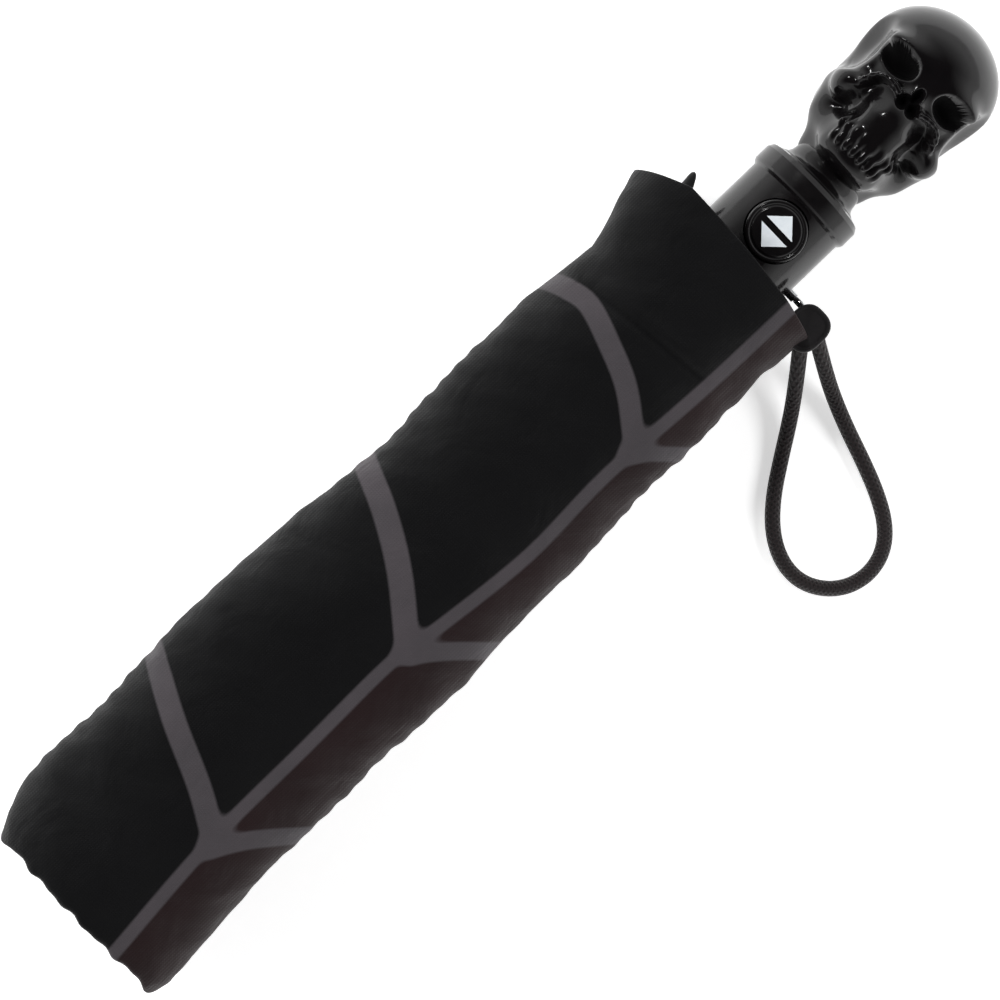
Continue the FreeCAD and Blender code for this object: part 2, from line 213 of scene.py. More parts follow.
# Skull: one hollow zinc casting, painted black and lacquered, screwed on the stud beyond the collar.
# It faces up and 6 degrees to one side. Its shape is blended eggs and rods with hollows pressed in.
def sheet_mesh(name, points, wrap=False):
    """A smooth mesh over a [rows, columns, 3] array in mm; wrap joins the last column to the first.

    Rows that shrink to one point close as poles, and doubles are merged before normals are set."""
    rows, columns = points.shape[:2]
    here = np.arange(rows * columns).reshape(rows, columns)
    right_of = np.roll(here, -1, axis=1) if wrap else here[:, 1:]
    left_of = here if wrap else here[:, :-1]
    faces = np.stack([left_of[:-1], right_of[:-1], right_of[1:], left_of[1:]], -1).reshape(-1, 4)
    mesh = bpy.data.meshes.new(name)
    mesh.from_pydata(points.reshape(-1, 3) / 1000, [], faces.tolist())
    if wrap:
        shell = bmesh.new()
        shell.from_mesh(mesh)
        bmesh.ops.remove_doubles(shell, verts=shell.verts, dist=1e-6)
        bmesh.ops.recalc_face_normals(shell, faces=shell.faces)
        shell.to_mesh(mesh)
        shell.free()
    mesh.polygons.foreach_set("use_smooth", np.ones(len(mesh.polygons), bool))
    made = bpy.data.objects.new(name, mesh)
    bpy.context.scene.collection.objects.link(made)
    return made


def egg(p, centre, radii):
    """About the distance to an ellipsoid: k(k-1)/m, with k and m the lengths of p/r and p/r^2."""
    q = p - centre
    k = np.linalg.norm(q / radii, axis=-1)
    return k * (k - 1) / np.maximum(np.linalg.norm(q / np.square(radii), axis=-1), 1e-9)


def rod(p, start, end, radius):
    """Distance to a round-ended rod: to the nearest point of its axis, less its radius."""
    axis = np.subtract(end, start)
    share = np.clip((p - start) @ axis / (axis @ axis), 0, 1)
    return np.linalg.norm(p - start - share[..., None] * axis, axis=-1) - radius


def join(a, b, soft):
    """The smaller of two distances, rounded where they are within soft of each other."""
    near = np.maximum(soft - np.abs(a - b), 0) / soft
    return np.minimum(a, b) - near * near * soft / 4


def coordinates(piece):
    """The mesh's vertices in mm."""
    flat = np.empty(len(piece.data.vertices) * 3)
    piece.data.vertices.foreach_get("co", flat)
    return flat.reshape(-1, 3) * 1000


SKULL_X, SKULL_TURN = 137.0, math.radians(6)
BONES = [  # centre and radii: towards the head's crown, to the side, to the front; softness of the join
    ((4, 0, -8), (17, 17.0, 14), 4), ((12.5, 0, -2), (14.6, 18.4, 18), 4), ((10, 0, 2), (13, 15, 14), 4),
    ((9.6, 7.6, 12.8), (2.8, 7.8, 3.6), 4), ((-7.5, 0, 9), (10, 8.8, 9.8), 3),
    ((-14.6, 0, 10.2), (6.6, 9.2, 7.8), 3), ((-6.5, 14.0, 6.5), (5.0, 4.6, 6), 5),
    ((-21, 0, 10.5), (4.0, 7.6, 6.2), 3), ((-9, 12.5, -7), (8, 5, 7), 6),
]
RODS = [
    ((-6, 15.0, 6), (8, 14.8, 9.5), 1.6, 2.4), ((6, 0, 13.2), (2.0, 0, 16.2), 2.2, 3.0),
    ((-20, 6, 8.5), (-15, 12.0, 0), 3.6, 4.0), ((-23, 8.0, -1), (-8, 14.2, -1), 3.6, 4.0),
    ((-24, 0, -1), (-12, 0, -1), 10.2, 3.0),
]
# The thin ridge that bows from the nose over each cheek, a chain of short rods.
share = np.linspace(0, 1, 9)
CHEEK_RIDGE = np.stack([-0.6 + 2.0 * np.sin(math.pi * share) - 5.5 * share ** 3,
                        1.8 + 11.2 * np.sin(1.5 * share), 16.5 - 4.6 * share ** 2], -1)
RODS += [(start, end, 0.7, 0.9) for start, end in zip(CHEEK_RIDGE, CHEEK_RIDGE[1:])]
HOLLOWS = [
    ((6.0, 10.2, 16.6), (3.9, 6.3, 7.6), 0.9), ((-0.6, 1.7, 18.0), (2.0, 1.8, 4.6), 0.7),
    ((2.6, 0, 18.2), (2.4, 1.4, 4.4), 0.7), ((-4.4, 9.4, 18.6), (3.0, 4.6, 4.0), 2.4),
    ((-11.5, 11.4, 14.0), (3.6, 3.2, 3.6), 4.0), ((4.5, 18.2, 6.0), (9.0, 3.4, 8.4), 2.2),
]
SOCKETS_AND_NOSE = HOLLOWS[:3]
TOOTH_ROWS = (  # height, how wide the row stands, radii of a tooth: upper row, lower row
    (-14.9, 9.2, (1.9, 1.25, 0.8)), (-18.5, 8.4, (1.9, 1.1, 0.7)))
TOOTH_TURNS = np.radians(np.linspace(-66, 66, 8))[:4]


def skull_distance(p, hollow=True):
    """Bones and rods joined softly, then hollows cut softly, then the teeth; both sides are alike."""
    folded = p * (1, 0, 1) + np.abs(p) * (0, 1, 0)
    solid = egg(folded, (8, 0, -2), (19, 18.7, 19))
    for centre, radii, soft in BONES:
        solid = join(solid, egg(folded, centre, radii), soft)
    for start, end, radius, soft in RODS:
        solid = join(solid, rod(folded, start, end, radius), soft)
    for centre, radii, soft in HOLLOWS if hollow else []:
        solid = -join(-solid, egg(folded, centre, radii), soft)
    for u, wide, size in TOOTH_ROWS:
        for turn in TOOTH_TURNS:
            tooth = (u, -wide * math.sin(turn), 10.2 + 7.4 * math.cos(turn))
            solid = join(solid, egg(folded, tooth, size), 0.7)
    return solid


SKULL_ROWS, SKULL_COLUMNS = ((290, 330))
latitude = np.linspace(0, math.pi, SKULL_ROWS)[:, None]
turn = np.linspace(-math.pi, math.pi, SKULL_COLUMNS, endpoint=False)[None, :]
longitude = turn - 0.5 * np.sin(turn)  # closer columns at the face
ray = np.stack([np.cos(latitude) * np.ones_like(turn), np.sin(latitude) * np.sin(longitude),
                np.sin(latitude) * np.cos(longitude)], -1)
SKULL_HEART = np.array((-1.0, 0, 3.0))
OUTSIDE_MM, TRACE_STEPS, STEP_SHARE, EASE_ALL, EASE_HOLLOWS = 42.0, 56, 0.75, 2, 24
reach = np.full(ray.shape[:2], OUTSIDE_MM)
for _ in range(TRACE_STEPS):
    reach -= STEP_SHARE * skull_distance(SKULL_HEART + ray * reach[..., None])
# Each point is eased towards its neighbours, as polishing does, and more so inside the hollows.
below_bone = skull_distance(SKULL_HEART + ray * reach[..., None], hollow=False) < -0.3
for number in range(EASE_HOLLOWS):
    eased = 0.5 * reach + 0.25 * (np.roll(reach, 1, 1) + np.roll(reach, -1, 1))
    eased[1:-1] = 0.5 * eased[1:-1] + 0.25 * (eased[:-2] + eased[2:])
    reach = eased if number < EASE_ALL else np.where(below_bone, eased, reach)
casting = SKULL_HEART + ray * reach[..., None]
side, front = casting[..., 1], casting[..., 2]
skull_points = np.stack([casting[..., 0] + SKULL_X,
                         side * math.cos(SKULL_TURN) - front * math.sin(SKULL_TURN),
                         side * math.sin(SKULL_TURN) + front * math.cos(SKULL_TURN) + AXIS_Z], -1)
skull = sheet_mesh("skull_casting", skull_points, wrap=True)
# Lacquered casting: deep black under a clear coat, with the slight waviness of a polished mould.
lacquer = finish("black_lacquered_casting", ("#070607", "#100E0F"), 0.006, (0.10, 0.22), 0.00008,
                 {"Coat Weight": 0.15, "Coat Roughness": 0.05, "Specular IOR Level": 0.35})
# Painted shade: a dead black, matt finish on the faces deep in the eye sockets and the nose, standing for the
# shade in these hollows.
socket_shade = finish("painted_socket_shade_black", ("#030303", "#070607"), 0.003, (0.8, 0.95), 0.00005,
                {"Specular IOR Level": 0.1})
skull.data.materials.append(lacquer)
skull.data.materials.append(socket_shade)
place = coordinates(skull)
side, front = place[:, 1], place[:, 2] - AXIS_Z
upright = np.stack([place[:, 0] - SKULL_X, np.abs(side * math.cos(SKULL_TURN) + front * math.sin(SKULL_TURN)),
                    front * math.cos(SKULL_TURN) - side * math.sin(SKULL_TURN)], -1)
# Faces deep in the sockets and the nose take the painted shade.
in_socket = np.min([egg(upright, centre, radii) for centre, radii, _ in SOCKETS_AND_NOSE], 0) < 0.7
deep = in_socket & (skull_distance(upright, hollow=False) < -0.5)
corners = np.empty(len(skull.data.loops), int)
skull.data.loops.foreach_get("vertex_index", corners)
starts = np.empty(len(skull.data.polygons), int)
skull.data.polygons.foreach_get("loop_start", starts)
skull.data.polygons.foreach_set("material_index", deep[corners[starts]].astype(np.int32))
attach(skull, "handle")
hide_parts("skull_handle")


# Collar, neck ring, crimp and button: moulded ABS and lacquered metal, all in gloss black.
# The button sits in its well over a coil spring; its mark is two pale printed triangles.
def turned(profile, columns=96):
    """A surface of revolution about Z: each (radius, height) of the profile carried round a circle."""
    profile = np.array(profile, float)
    around = np.linspace(0, 2 * math.pi, columns, endpoint=False)
    return np.stack([profile[:, :1] * np.cos(around), profile[:, :1] * np.sin(around),
                     profile[:, 1:] * np.ones(columns)], -1)


# The ring between collar and skull runs out in one smooth flare.
neck_profile = [(0, 106.5), (13.4, 106.6), (13.5, 107.0), (12.6, 107.5), (11.6, 108.2), (11.1, 109.2),
                (10.9, 110.4), (10.7, 111.6), (10.3, 112.6), (9.4, 113.4), (0, 113.6)]
flare = turned(neck_profile)
flare = np.stack([flare[..., 2], flare[..., 0], flare[..., 1] + AXIS_Z], -1)
neck_flare = sheet_mesh("neck_flare", flare, wrap=True)
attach(neck_flare, "handle")
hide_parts("neck_ring")
neck_flare.data.materials.append(lacquer)

BUTTON_X, BUTTON_TURN = 90.0, math.radians(6)
button_profile = [(0, 9.3), (8.0, 9.3), (8.2, 9.6), (8.2, 14.6), (8.0, 15.05), (7.6, 15.2), (7.2, 15.16),
                  (7.0, 14.85), (6.7, 14.85), (6.5, 15.18), (6.1, 15.26), (3.0, 15.29), (0, 15.3)]
cap = turned(button_profile)
cap = np.stack([cap[..., 0] + BUTTON_X,
                cap[..., 1] * math.cos(BUTTON_TURN) - cap[..., 2] * math.sin(BUTTON_TURN),
                cap[..., 1] * math.sin(BUTTON_TURN) + cap[..., 2] * math.cos(BUTTON_TURN) + AXIS_Z], -1)
button_cap = sheet_mesh("button_cap", cap, wrap=True)
# Moulded ABS: black with a high gloss and the faint orange peel of the mould.
gloss_abs = finish("gloss_moulded_abs", ("#080708", "#131112"), 0.003, (0.12, 0.26), 0.00003,
                   {"Coat Weight": 0.15, "Coat Roughness": 0.05, "Specular IOR Level": 0.4})
button_cap.data.materials.append(gloss_abs)
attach(button_cap, "button")
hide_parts("push_button")

# Pad print: pale grey-blue ink, slightly worn to a matte surface.
ink = finish("pale_pad_print", ("#CCD3D9", "#E2E7EA"), 0.0015, (0.4, 0.55), 0.00001)
# Chromed wire: bright, with fine polishing unevenness.
chrome = finish("chromed_wire", ("#C9CBCD", "#E6E7E8"), 0.002, (0.08, 0.2), 0.00002, {"Metallic": 1.0})
# Drawn steel tube: grey and satin from drawing and nickel.
steel = finish("nickelled_steel_tube", ("#8E9092", "#B4B6B8"), 0.005, (0.25, 0.4), 0.00002, {"Metallic": 1.0})
# Black oxide ribs: pressed steel blacked in a bath, with a satin bloom.
black_steel = finish("blacked_pressed_steel", ("#19191A", "#2B2B2D"), 0.004, (0.35, 0.5), 0.00003,
                     {"Metallic": 0.8})
# Glass-filled nylon: matte black, slightly mottled, as crown and runner are moulded.
nylon = finish("glass_filled_nylon", ("#121213", "#1F1F20"), 0.0015, (0.5, 0.65), 0.00004)
# Nylon ties and the hook patch: dull black textile.
textile = finish("black_nylon_tape", ("#0E0D0E", "#1C191B"), 0.0008, (0.75, 0.9), 0.0001,
                 {"Sheen Weight": 0.2})
NODE_FINISHES = [
    (gloss_abs, ("handle_collar",)), (ink, ("button_arrows",)), (chrome, ("cord_eye",)),
    (steel, ("outer_tube", "middle_tube", "inner_tube", "main_spring", "button_spring", "handle_stud",
             "crown_pins", "runner_pins", "latch_lever")),
    (black_steel, ("top_rib_", "middle_rib_", "tip_rib_", "stretcher_")),
    (nylon, ("crown", "runner", "ferrule_cap", "cord_knot")),
    (textile, ("seam_tie_", "hem_tie_", "strap_patch")),
]
for material, names in NODE_FINISHES:
    for name, cad in nodes.items():
        if name in names or name.rstrip("0123456789") in names:
            cad.data.materials.clear()
            cad.data.materials.append(material)


# Furled canopy: polyester pongee wound round the frame, flat where it lies, printed with a web.
# The outline, edges and hem follow a real roll: puckers along both edges, one crease, a pointed ear.
EDGE_STATIONS = np.array([  # along the shaft, upper edge, lower edge
    (-160, 25.6, -31.6), (-157, 27.9, -32.4), (-149, 30.6, -31.3), (-141, 32.1, -31.3), (-110, 32.4, -29.8),
    (-79, 33.2, -29.0), (-48, 31.9, -30.0), (-16, 29.8, -28.7), (15, 30.8, -26.4), (30, 31.3, -26.7),
    (46, 29.8, -26.7), (54, 29.0, -26.4), (61.5, 31.6, -26.7), (69, 34.2, -26.7), (77, 36.0, -27.7)])
HEM_LINE = np.array([(-28, 77.1), (-16, 79.2), (2, 80.6), (22, 81.4), (29, 78.6), (36, 75.4)])
ROLL_HALF_HEIGHT, FAR_X = 24.0, -161.5
WEB_STROKES = [  # points along each printed line, and its half width
    ([(-163, -17.3), (-123.9, -13.7), (-88.8, -13.1), (-57.6, -12.6), (-42, -14.7), (-13.4, -17.3),
      (15.2, -16.3), (49, -17.8), (82, -18.3)], 1.7),
    ([(-121.3, -13.1), (-114.8, -1.4), (-108.3, 14.2), (-102.5, 27), (-100, 34), (-99, 46)], 3.0),
    ([(-52.4, -13.1), (-40.2, 2.5), (-32.1, 16.8), (-26.9, 30.3), (-25, 36), (-24, 46)], 3.2),
    ([(25.1, -16.2), (33.9, -4), (38.6, 7.2), (42, 18.1), (41.2, 24.6), (39.4, 30.3), (36, 40)], 2.8),
    ([(-123.9, -15), (-114.8, -20.9), (-105.7, -29.3), (-100, -36)], 2.4),
    ([(-52.4, -15), (-44.6, -21.5), (-36.8, -29.5), (-31, -36)], 2.4),
    ([(23, -16.3), (28.2, -21.5), (32.9, -26.1), (40, -34)], 1.9),
]


def smooth_route(route, steps=6):
    """A curve through the points: each span is the cubic that meets its neighbours' chords at both ends."""
    points = np.array(route, float)
    slopes = np.gradient(points, axis=0)
    t = np.linspace(0, 1, steps, endpoint=False)[None, :, None]
    a, b, da, db = points[:-1, None], points[1:, None], slopes[:-1, None], slopes[1:, None]
    spans = (a * (2 * t ** 3 - 3 * t ** 2 + 1) + da * (t ** 3 - 2 * t ** 2 + t)
             + b * (3 * t ** 2 - 2 * t ** 3) + db * (t ** 3 - t ** 2))
    return np.vstack([spans.reshape(-1, 2), points[-1:]])


def web_distance(x, y, strokes, soft=3.0):
    """Distance to the nearest printed line less its half width, with rounded corners where lines meet."""
    nearest = np.full(x.shape, 60.0)
    flat = np.stack([x, y], -1)
    for route, half in strokes:
        line = np.full(x.shape, 1e3)
        route = smooth_route(route)
        for start, end in zip(route[:-1], route[1:]):
            line = np.minimum(line, rod(flat, start, end, half))
        nearest = join(nearest, line, soft)
    return nearest


def store(piece, name, values):
    """Keeps one number per vertex on the mesh for its material."""
    kept = piece.data.attributes.new(name, "FLOAT", "POINT")
    kept.data.foreach_set("value", np.asarray(values, np.float32).ravel())


def store_cloth(piece, points):
    """Keeps each vertex's place on the cloth, in metres, so that weave and ink follow the cloth."""
    kept = piece.data.attributes.new("cloth", "FLOAT_VECTOR", "POINT")
    kept.data.foreach_set("vector", np.asarray(points / 1000, np.float32).ravel())


def roll_section(x, angle, size):
    """A flattened oval across the roll at x: cosines and sines raised to 0.86, size 1 on the skin.

    Folds are sums of sine waves along and round the roll; puckers of 6.5 mm pitch sit on both edges."""
    upper = np.interp(x, EDGE_STATIONS[:, 0], EDGE_STATIONS[:, 1])
    lower = np.interp(x, EDGE_STATIONS[:, 0], EDGE_STATIONS[:, 2])
    middle, half = (upper + lower) / 2, (upper - lower) / 2
    across = np.sign(np.cos(angle)) * np.abs(np.cos(angle)) ** 0.86
    rise = np.sign(np.sin(angle)) * np.abs(np.sin(angle)) ** 0.86
    wound = [2 * turns * angle for turns in (1, 2, 3, 5)]
    folds = (0.42 * np.sin(0.071 * x + wound[0] + 0.6) + 0.26 * np.sin(0.13 * x - wound[1] + 1.9)
             + 0.14 * np.sin(0.31 * x + wound[2] + 4.0) + 0.07 * np.sin(0.62 * x - wound[3]))
    edge = np.exp(-((np.abs(np.cos(angle)) - 1) / 0.10) ** 2)
    swell = 0.5 + 0.5 * np.sin(0.057 * x + 2.0 * (np.cos(angle) > 0))
    pucker = 0.2 * edge * swell * np.sin(2 * math.pi * x / 6.5 + 1.9 * np.sin(0.05 * x))
    near_hem = np.clip((x - 30) / 40, 0, 1) * (np.cos(angle) < 0)
    pucker = pucker + 0.45 * edge * near_hem * np.sin(2 * math.pi * x / 13.0)
    y = middle + (half * size + (folds + pucker) * size) * across
    z = AXIS_Z + (ROLL_HALF_HEIGHT * size + folds * size) * rise
    return y, z


ROLL_COLUMNS, ROLL_ROWS = ((200, 345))
angle = np.linspace(0, 2 * math.pi, ROLL_COLUMNS, endpoint=False)[None, :]
# Rows run from the middle of the far end, over its rounded corner and along the skin to the hem,
# round the hem fold, and back along the inside, so that the cloth has both of its faces.
end_share = np.linspace(0, 1, 22)[:, None]
end_size = np.sin(end_share * math.pi / 2)
end_x = FAR_X + 4.0 * (1 - np.sqrt(np.clip(1 - end_share ** 8, 0, 1))) + 0 * angle
skin_share = np.linspace(0, 1, ROLL_ROWS)[1:, None]
hem_y = roll_section(np.full_like(angle, 77.0), angle, 1.0)[0]
hem_x = np.interp(hem_y, HEM_LINE[:, 0], HEM_LINE[:, 1])
skin_x = end_x[-1:] + skin_share * (hem_x - end_x[-1:])
HEM_FOLD = np.array([(0.992, 0.3), (0.978, 0.25), (0.966, -0.3)])
WALL_SIZE, WALL_MM = 0.962, 1.2
hem_fold_x = hem_x + HEM_FOLD[:, 1:]
inner_x = skin_x[::-4] - 0.6
inner_end_x = end_x[::-1] + WALL_MM
all_x = np.concatenate([end_x, skin_x, hem_fold_x, inner_x, inner_end_x])
all_size = np.concatenate([end_size + 0 * angle, np.ones_like(skin_x), HEM_FOLD[:, :1] + 0 * angle,
                           np.full_like(inner_x, WALL_SIZE), WALL_SIZE * end_size[::-1] + 0 * angle])
roll_y, roll_z = roll_section(all_x, angle, all_size)
# Corners pulled out at the far end, the crease where the roll is folded over, and the resting flat.
ears = 1.6 * np.exp(-((roll_y - 24) / 3.5) ** 2) + 1.9 * np.exp(-((roll_y + 31) / 3.0) ** 2)
far = np.clip((-150 - all_x) / 10, 0, 1)
all_x = all_x - far * ears - far * (0.3 * np.sin(roll_y * 0.61) + 0.22 * np.sin(roll_y * 1.03 + 1.0))
crease = all_x - (49.8 - (roll_y + 18.1) * 0.1206)
on_top = (roll_z > AXIS_Z) * np.clip((roll_y + 18) / 4, 0, 1)
roll_z = (roll_z - 0.9 * on_top * np.exp(-(crease / 1.0) ** 2)
          + 0.35 * on_top * np.exp(-((crease - 3) / 2) ** 2))
roll_z = np.maximum(roll_z, np.where(all_size > 0.999, 0.05, 0.05 + 30 * (1 - all_size) * (all_size > 0.9)))
roll = sheet_mesh("furled_wrap", np.stack([all_x, roll_y, roll_z], -1), wrap=True)
place = coordinates(roll)
upper_side = place[:, 2] > AXIS_Z * 0.6
distance = web_distance(place[:, 0], place[:, 1], WEB_STROKES)
store_cloth(roll, place)
store(roll, "web", np.where(upper_side, distance, 20.0))
RADIAL = np.array(WEB_STROKES[0][0])
above_line = place[:, 1] - np.interp(place[:, 0], RADIAL[:, 0], RADIAL[:, 1])
store(roll, "plum", 1 / (1 + np.exp(above_line / 0.5)))

# Polyester pongee: dull black with a soft sheen, plain weave every 0.7 mm, coarser than real so that
# it shows. The ink is charcoal; one side of the panel's middle line is plum.
WEAVE = 0.0007
pongee, tree = new_material("printed_polyester_pongee")
place = add(tree, "Attribute", attribute_name="cloth").outputs["Vector"]
print_edge = add(tree, "Attribute", attribute_name="web").outputs["Fac"]
plum_side = add(tree, "Attribute", attribute_name="plum").outputs["Fac"]
cloud = add(tree, "TexNoise", {"Vector": place, "Scale": 40.0, "Detail": 5.0}).outputs["Fac"]
threads = {"Vector": place, "Scale": 0.32 / WEAVE, "Distortion": 0.4}
warp = add(tree, "TexWave", threads, bands_direction="X").outputs["Fac"]
weft = add(tree, "TexWave", threads, bands_direction="Y").outputs["Fac"]
weave = add(tree, "Math", {0: warp, 1: weft}, operation="MULTIPLY").outputs[0]
black = add(tree, "Mix", {0: cloud, 6: paint("#070708"), 7: paint("#101011")}, data_type="RGBA").outputs[2]
plum = add(tree, "Mix", {0: cloud, 6: paint("#180F10"), 7: paint("#271B1C")}, data_type="RGBA").outputs[2]
ground = add(tree, "Mix", {0: plum_side, 6: black, 7: plum}, data_type="RGBA").outputs[2]
grey = add(tree, "Mix", {0: cloud, 6: paint("#373638"), 7: paint("#4E484C")}, data_type="RGBA").outputs[2]
inked = add(tree, "MapRange", {"Value": print_edge, "From Min": 0.35, "From Max": -0.35}).outputs[0]
cloth_colour = add(tree, "Mix", {0: inked, 6: ground, 7: grey}, data_type="RGBA").outputs[2]
# Small creases about 14 mm apart, as thin cloth keeps them after folding.
CREASE_PITCH = 0.014
crumple = add(tree, "TexNoise", {"Vector": place, "Scale": 1 / CREASE_PITCH, "Detail": 3.0,
                                 "Distortion": 0.6}).outputs["Fac"]
creased = add(tree, "Bump", {"Height": crumple, "Distance": 0.0012}).outputs[0]
bump = add(tree, "Bump", {"Height": weave, "Distance": 0.00006, "Normal": creased})
shader = add(tree, "BsdfPrincipled", {"Base Color": cloth_colour, "Roughness": 0.68, "Sheen Weight": 0.06,
                                      "Sheen Roughness": 0.4, "Specular IOR Level": 0.15,
                                      "Normal": bump.outputs[0]})
add(tree, "OutputMaterial", {"Surface": shader.outputs[0]})
roll.data.materials.append(pongee)

# The rest of the cloth shows only at the mouth: pleats packed edge-on between the roll and the shaft.
fold_turn = np.linspace(0, 2 * math.pi, 360, endpoint=False)[None, :]
fold_out = np.linspace(0, 1, 26)[:, None]
pleat = np.sin(20 * fold_turn + 2.2 * fold_out + 1.5 * np.sin(3 * fold_turn))
fold_size = 0.93 - 0.66 * fold_out + 0 * fold_turn
fold_y, fold_z = roll_section(np.full_like(fold_size, 74.0), fold_turn, fold_size)
fold_x = 73.0 - 3.0 * fold_out + 2.4 * pleat * np.sin(math.pi * np.clip(fold_out + 0.12, 0, 1))
packed_folds = sheet_mesh("packed_folds", np.stack([fold_x, fold_y, fold_z], -1), wrap=True)
place = coordinates(packed_folds)
store_cloth(packed_folds, place)
store(packed_folds, "web", np.full(len(place), 20.0))
store(packed_folds, "plum", 0.5 + 0.5 * np.sign(place[:, 1]))
packed_folds.data.materials.append(pongee)
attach(packed_folds, "crown")
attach(roll, "crown")
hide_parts("furled_canopy")
for piece in (roll, packed_folds):
    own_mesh(piece)


# Closing strap: a short tab of the same cloth, bound with tape round its edge, sewn into the hem.
# Beside the hem on the other side the plastic tip of one rib pokes out.
STRAP_CENTRE, STRAP_HALF = (79.0, -25.0, 28.6), (6.2, 5.4)
ring = np.linspace(0, 2 * math.pi, 96, endpoint=False)[None, :]
# Heights go over the top from the middle to the binding's bead, round it, and back underneath.
TAB = np.array([(0, 0.45), (0.4, 0.48), (0.74, 0.42), (0.79, 0.35), (0.83, 0.72), (0.91, 0.86), (0.98, 0.6),
                (1.0, 0.0), (0.98, -0.55), (0.9, -0.7), (0.8, -0.4), (0.4, -0.42), (0, -0.42)])
CORNER = 0.75  # the power that squares the oval: 1 would be an ellipse
tab_out = np.sign(np.cos(ring)) * np.abs(np.cos(ring)) ** CORNER
tab_aside = np.sign(np.sin(ring)) * np.abs(np.sin(ring)) ** CORNER
tab_points = np.stack([STRAP_CENTRE[0] + STRAP_HALF[0] * TAB[:, :1] * tab_out,
                       STRAP_CENTRE[1] + STRAP_HALF[1] * TAB[:, :1] * tab_aside,
                       STRAP_CENTRE[2] + TAB[:, 1:] + 0.12 * np.sin(5 * ring) * TAB[:, :1]], -1)
strap_tab = sheet_mesh("strap_tab", tab_points, wrap=True)
strap_tab.data.materials.append(textile)
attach(strap_tab, "tip_rib_2")
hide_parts("closure_strap")


def tube(path, radii, columns=40):
    """A round section carried along a path in the XY plane, each radius across the path's direction."""
    path, radii = np.array(path, float), np.array(radii, float)[:, None]
    heading = np.gradient(path, axis=0)
    heading /= np.linalg.norm(heading, axis=1, keepdims=True)
    aside = np.stack([-heading[:, 1], heading[:, 0], 0 * heading[:, 0]], -1)
    around = np.linspace(0, 2 * math.pi, columns, endpoint=False)
    return (path[:, None] + (radii * np.cos(around))[..., None] * aside[:, None]
            + (radii * np.sin(around))[..., None] * np.array((0, 0, 1.0)))


along = np.linspace(0, 1, 30)
horn_path = np.stack([74 + 12.2 * along, 21.2 + 2.2 * along + 0.9 * along ** 3, 26 + 4 * along], -1)
horn_radii = np.interp(along, (0, 0.001, 0.6, 0.9, 0.98, 1), (0, 1.9, 2.0, 1.1, 0.6, 0))
tip_horn = sheet_mesh("tip_horn", tube(horn_path, horn_radii), wrap=True)
tip_horn.data.materials.append(nylon)
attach(tip_horn, "tip_rib_5")

# Open canopy: six gores of the same cloth. Furled, each lies gathered to a narrow strip beside its
# rib inside the roll; as the frame opens its far edge is drawn across to the next rib.
CROWN_X, RIBS, RIB_TURN = -150.0, 6, 30.0
TOP, MIDDLE, TIP = 172.0, 118.0, 169.0
KNEE_1, KNEE_2 = TOP, TOP + MIDDLE
SPREAD = TOP + MIDDLE + TIP
SEAM_AT, LAYERS, TIP_RISE = 226.0, (9.0, 12.5, 16.0), 5.0
PIVOTS = ((0.0, 9.0, 78.0), (172.0, 10.75, -188.0), (54.0, 14.25, 172.0))  # s, r and turn in degrees
OFF_RIB, SEAM_HALF, GATHERED = 1.8, 3.0, 2.0
ARC_PITCH, ARC_HALF, LINE_HALF = 74.0, 3.0, 1.7
GORE_ROWS, GORE_COLUMNS = 190, 121


def swing(s, r, pivot, back=False):
    """Turns points of the rib's plane about one pivot; back undoes it."""
    turn_by = math.radians(pivot[2]) * (-1 if back else 1)
    ds, dr = s - pivot[0], r - pivot[1]
    return (pivot[0] + ds * math.cos(turn_by) - dr * math.sin(turn_by),
            pivot[1] + ds * math.sin(turn_by) + dr * math.cos(turn_by))


def opened(s, r, section):
    """Where a point of rib section 0, 1 or 2 goes when the frame is open."""
    for pivot in PIVOTS[section::-1]:
        s, r = swing(s, r, pivot)
    return s, r


def cloth_line(q, lift=0.0):
    """The open cloth's profile over a rib, q mm out along it: a little outside each section in turn."""
    off = OFF_RIB + lift
    top = opened(q, LAYERS[0] + off + 3.6 * np.exp(-(np.maximum(q + 4, 0) / 8) ** 2), 0)
    middle = opened(KNEE_1 + TOP - q, LAYERS[1] - off + 0 * q, 1)
    beyond = q - KNEE_2
    tip = opened(TOP - MIDDLE + beyond, LAYERS[2] + TIP_RISE * beyond / TIP + off, 2)
    return tuple(np.where(q < KNEE_1, a, np.where(q < KNEE_2, b, c)) for a, b, c in zip(top, middle, tip))


def gore_print(q, share):
    """Web on a gore: lines down its seams and middle, and arcs every 74 mm that dip towards the crown."""
    wide = q * math.radians(60) * 0.93
    from_line = np.abs((share * 2) % 1)
    lines = np.minimum(from_line, 1 - from_line) * wide / 2 - LINE_HALF
    dip = 1 + 0.13 * 4 * from_line * (1 - from_line)
    arcs = np.abs((q * dip / ARC_PITCH) % 1 - 0.5) * ARC_PITCH
    return join(lines, (ARC_PITCH / 2 - arcs) - ARC_HALF, 3.0)


def place_rib(s, t, r, number):
    """From a rib's own plane (s along the shaft, t across, r out) to the row's frame."""
    turn_by = math.radians(RIB_TURN + 60 * number)
    return np.stack([CROWN_X + s, t * math.cos(turn_by) - r * math.sin(turn_by),
                     AXIS_Z + t * math.sin(turn_by) + r * math.cos(turn_by)], -1)


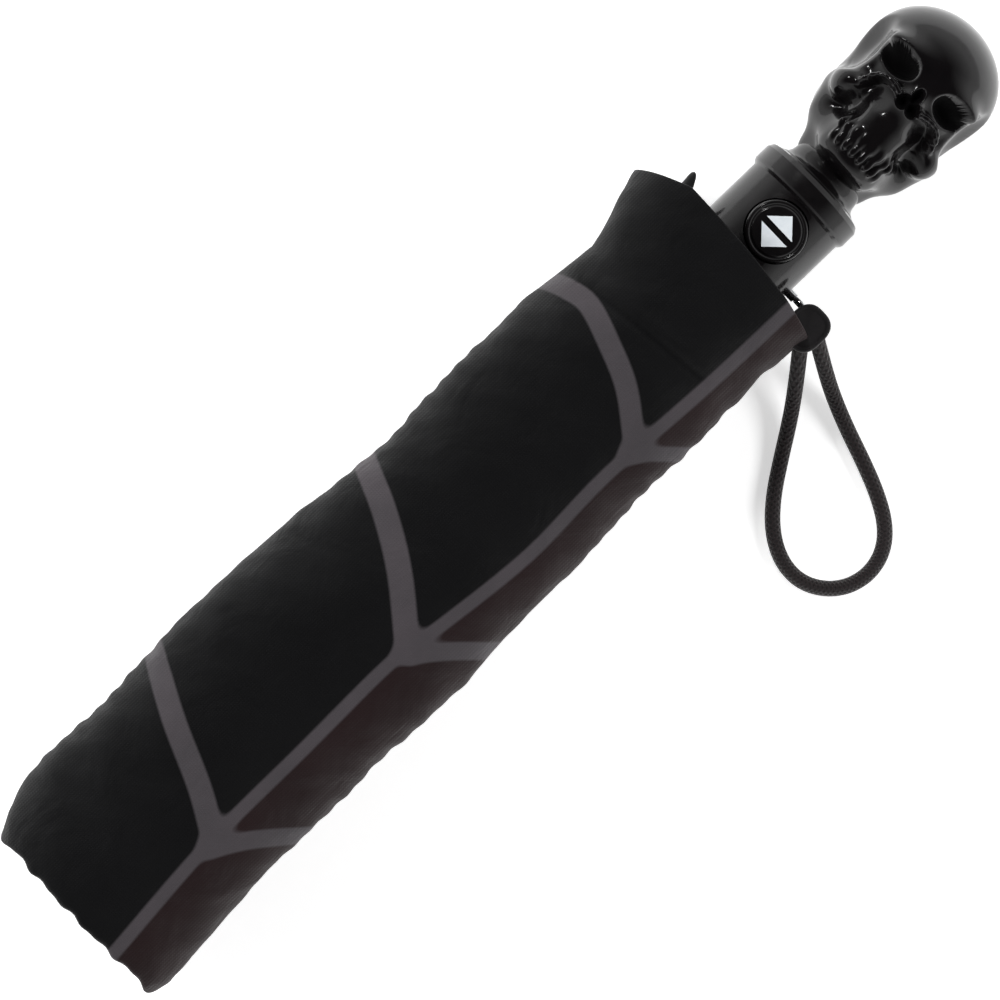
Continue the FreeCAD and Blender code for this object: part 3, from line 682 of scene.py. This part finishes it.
def gathered_gore(name, number, span, section, joint):
    """The strip that opens into one part of a gore.

    Each open point is carried back with its rib; then w * travel is taken off, where w = tt^2 (3 - 2 tt)
    and tt, the share of the strip's width, solves width * tt + travel_across * w = the way across."""
    rows, columns = np.linspace(*span, GORE_ROWS)[:, None], np.linspace(0, 1, GORE_COLUMNS)[None, :]
    bow = 4 * columns * (1 - columns)
    q = rows * (1 - 0.07 * bow * (np.maximum(rows, 0) / SPREAD) ** 2)
    s, r = cloth_line(q)
    s = s + 6.0 * bow * np.clip(q / SPREAD, 0, 1)
    near_r, near_t = r, -SEAM_HALF + 0 * r
    turn_by = math.radians(60)
    far_r = r * math.cos(turn_by) - SEAM_HALF * -math.sin(turn_by)
    far_t = -r * math.sin(turn_by) + SEAM_HALF * math.cos(turn_by)
    r, t = near_r + columns * (far_r - near_r), near_t + columns * (far_t - near_t)
    for pivot in PIVOTS[:section + 1]:
        s, r = swing(s, r, pivot, back=True)
    travel = joint["range_m"][1] * 1000
    row_axis = np.array(joint["axis"])
    f = math.radians(RIB_TURN + 60 * number)
    axis_s, axis_t = row_axis[0], row_axis[1] * math.cos(f) + row_axis[2] * math.sin(f)
    axis_r = -row_axis[1] * math.sin(f) + row_axis[2] * math.cos(f)
    across = -t - SEAM_HALF
    low, high = np.zeros_like(across), np.ones_like(across)
    for _ in range(40):
        middle = (low + high) / 2
        short = GATHERED * middle - travel * axis_t * middle ** 2 * (3 - 2 * middle) < across
        low, high = np.where(short, middle, low), np.where(short, high, middle)
    w = low ** 2 * (3 - 2 * low)
    strip = place_rib(s - w * travel * axis_s, t - w * travel * axis_t, r - w * travel * axis_r, number)
    made = sheet_mesh(name, strip)
    store_cloth(made, np.stack([q, columns * q, 0 * q], -1).reshape(-1, 3))
    store(made, "web", gore_print(q, columns + 0 * q))
    store(made, "plum", (columns > 0.5) + 0 * q)
    made.data.materials.append(pongee)
    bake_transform(made)


joints = {joint["name"]: joint for joint in frame["joints"]}
for number in range(RIBS):
    inner_joint, outer_joint = (joints[f"{tie}_tie_slide_{number + 1}"] for tie in ("seam", "hem"))
    gathered_gore(f"inner_gore_{number + 1}", number, (-4.0, SEAM_AT), 0, inner_joint)
    gathered_gore(f"outer_gore_{number + 1}", number, (SEAM_AT, SPREAD), 2, outer_joint)
    # Seam tapes cover the joins over each rib section.
    for section, (start, stop) in enumerate(((0, KNEE_1), (KNEE_1, KNEE_2), (KNEE_2, SPREAD))):
        q = np.linspace(start, stop, 40)[:, None] + np.zeros((1, 7))
        t = np.linspace(-SEAM_HALF - 0.4, SEAM_HALF + 0.4, 7)[None, :] + 0 * q
        s, r = cloth_line(np.clip(q, start + 1e-6, stop - 1e-6), lift=0.25)
        for pivot in PIVOTS[:section + 1]:
            s, r = swing(s, r, pivot, back=True)
        tape = sheet_mesh(f"seam_tape_{section + 1}_{number + 1}", place_rib(s, t, r, number))
        store_cloth(tape, np.stack([q, t, 0 * q], -1).reshape(-1, 3))
        store(tape, "web", np.abs(t) - LINE_HALF)
        store(tape, "plum", 0 * q)
        tape.data.materials.append(pongee)
        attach(tape, f"{('top', 'middle', 'tip')[section]}_rib_{number + 1}")
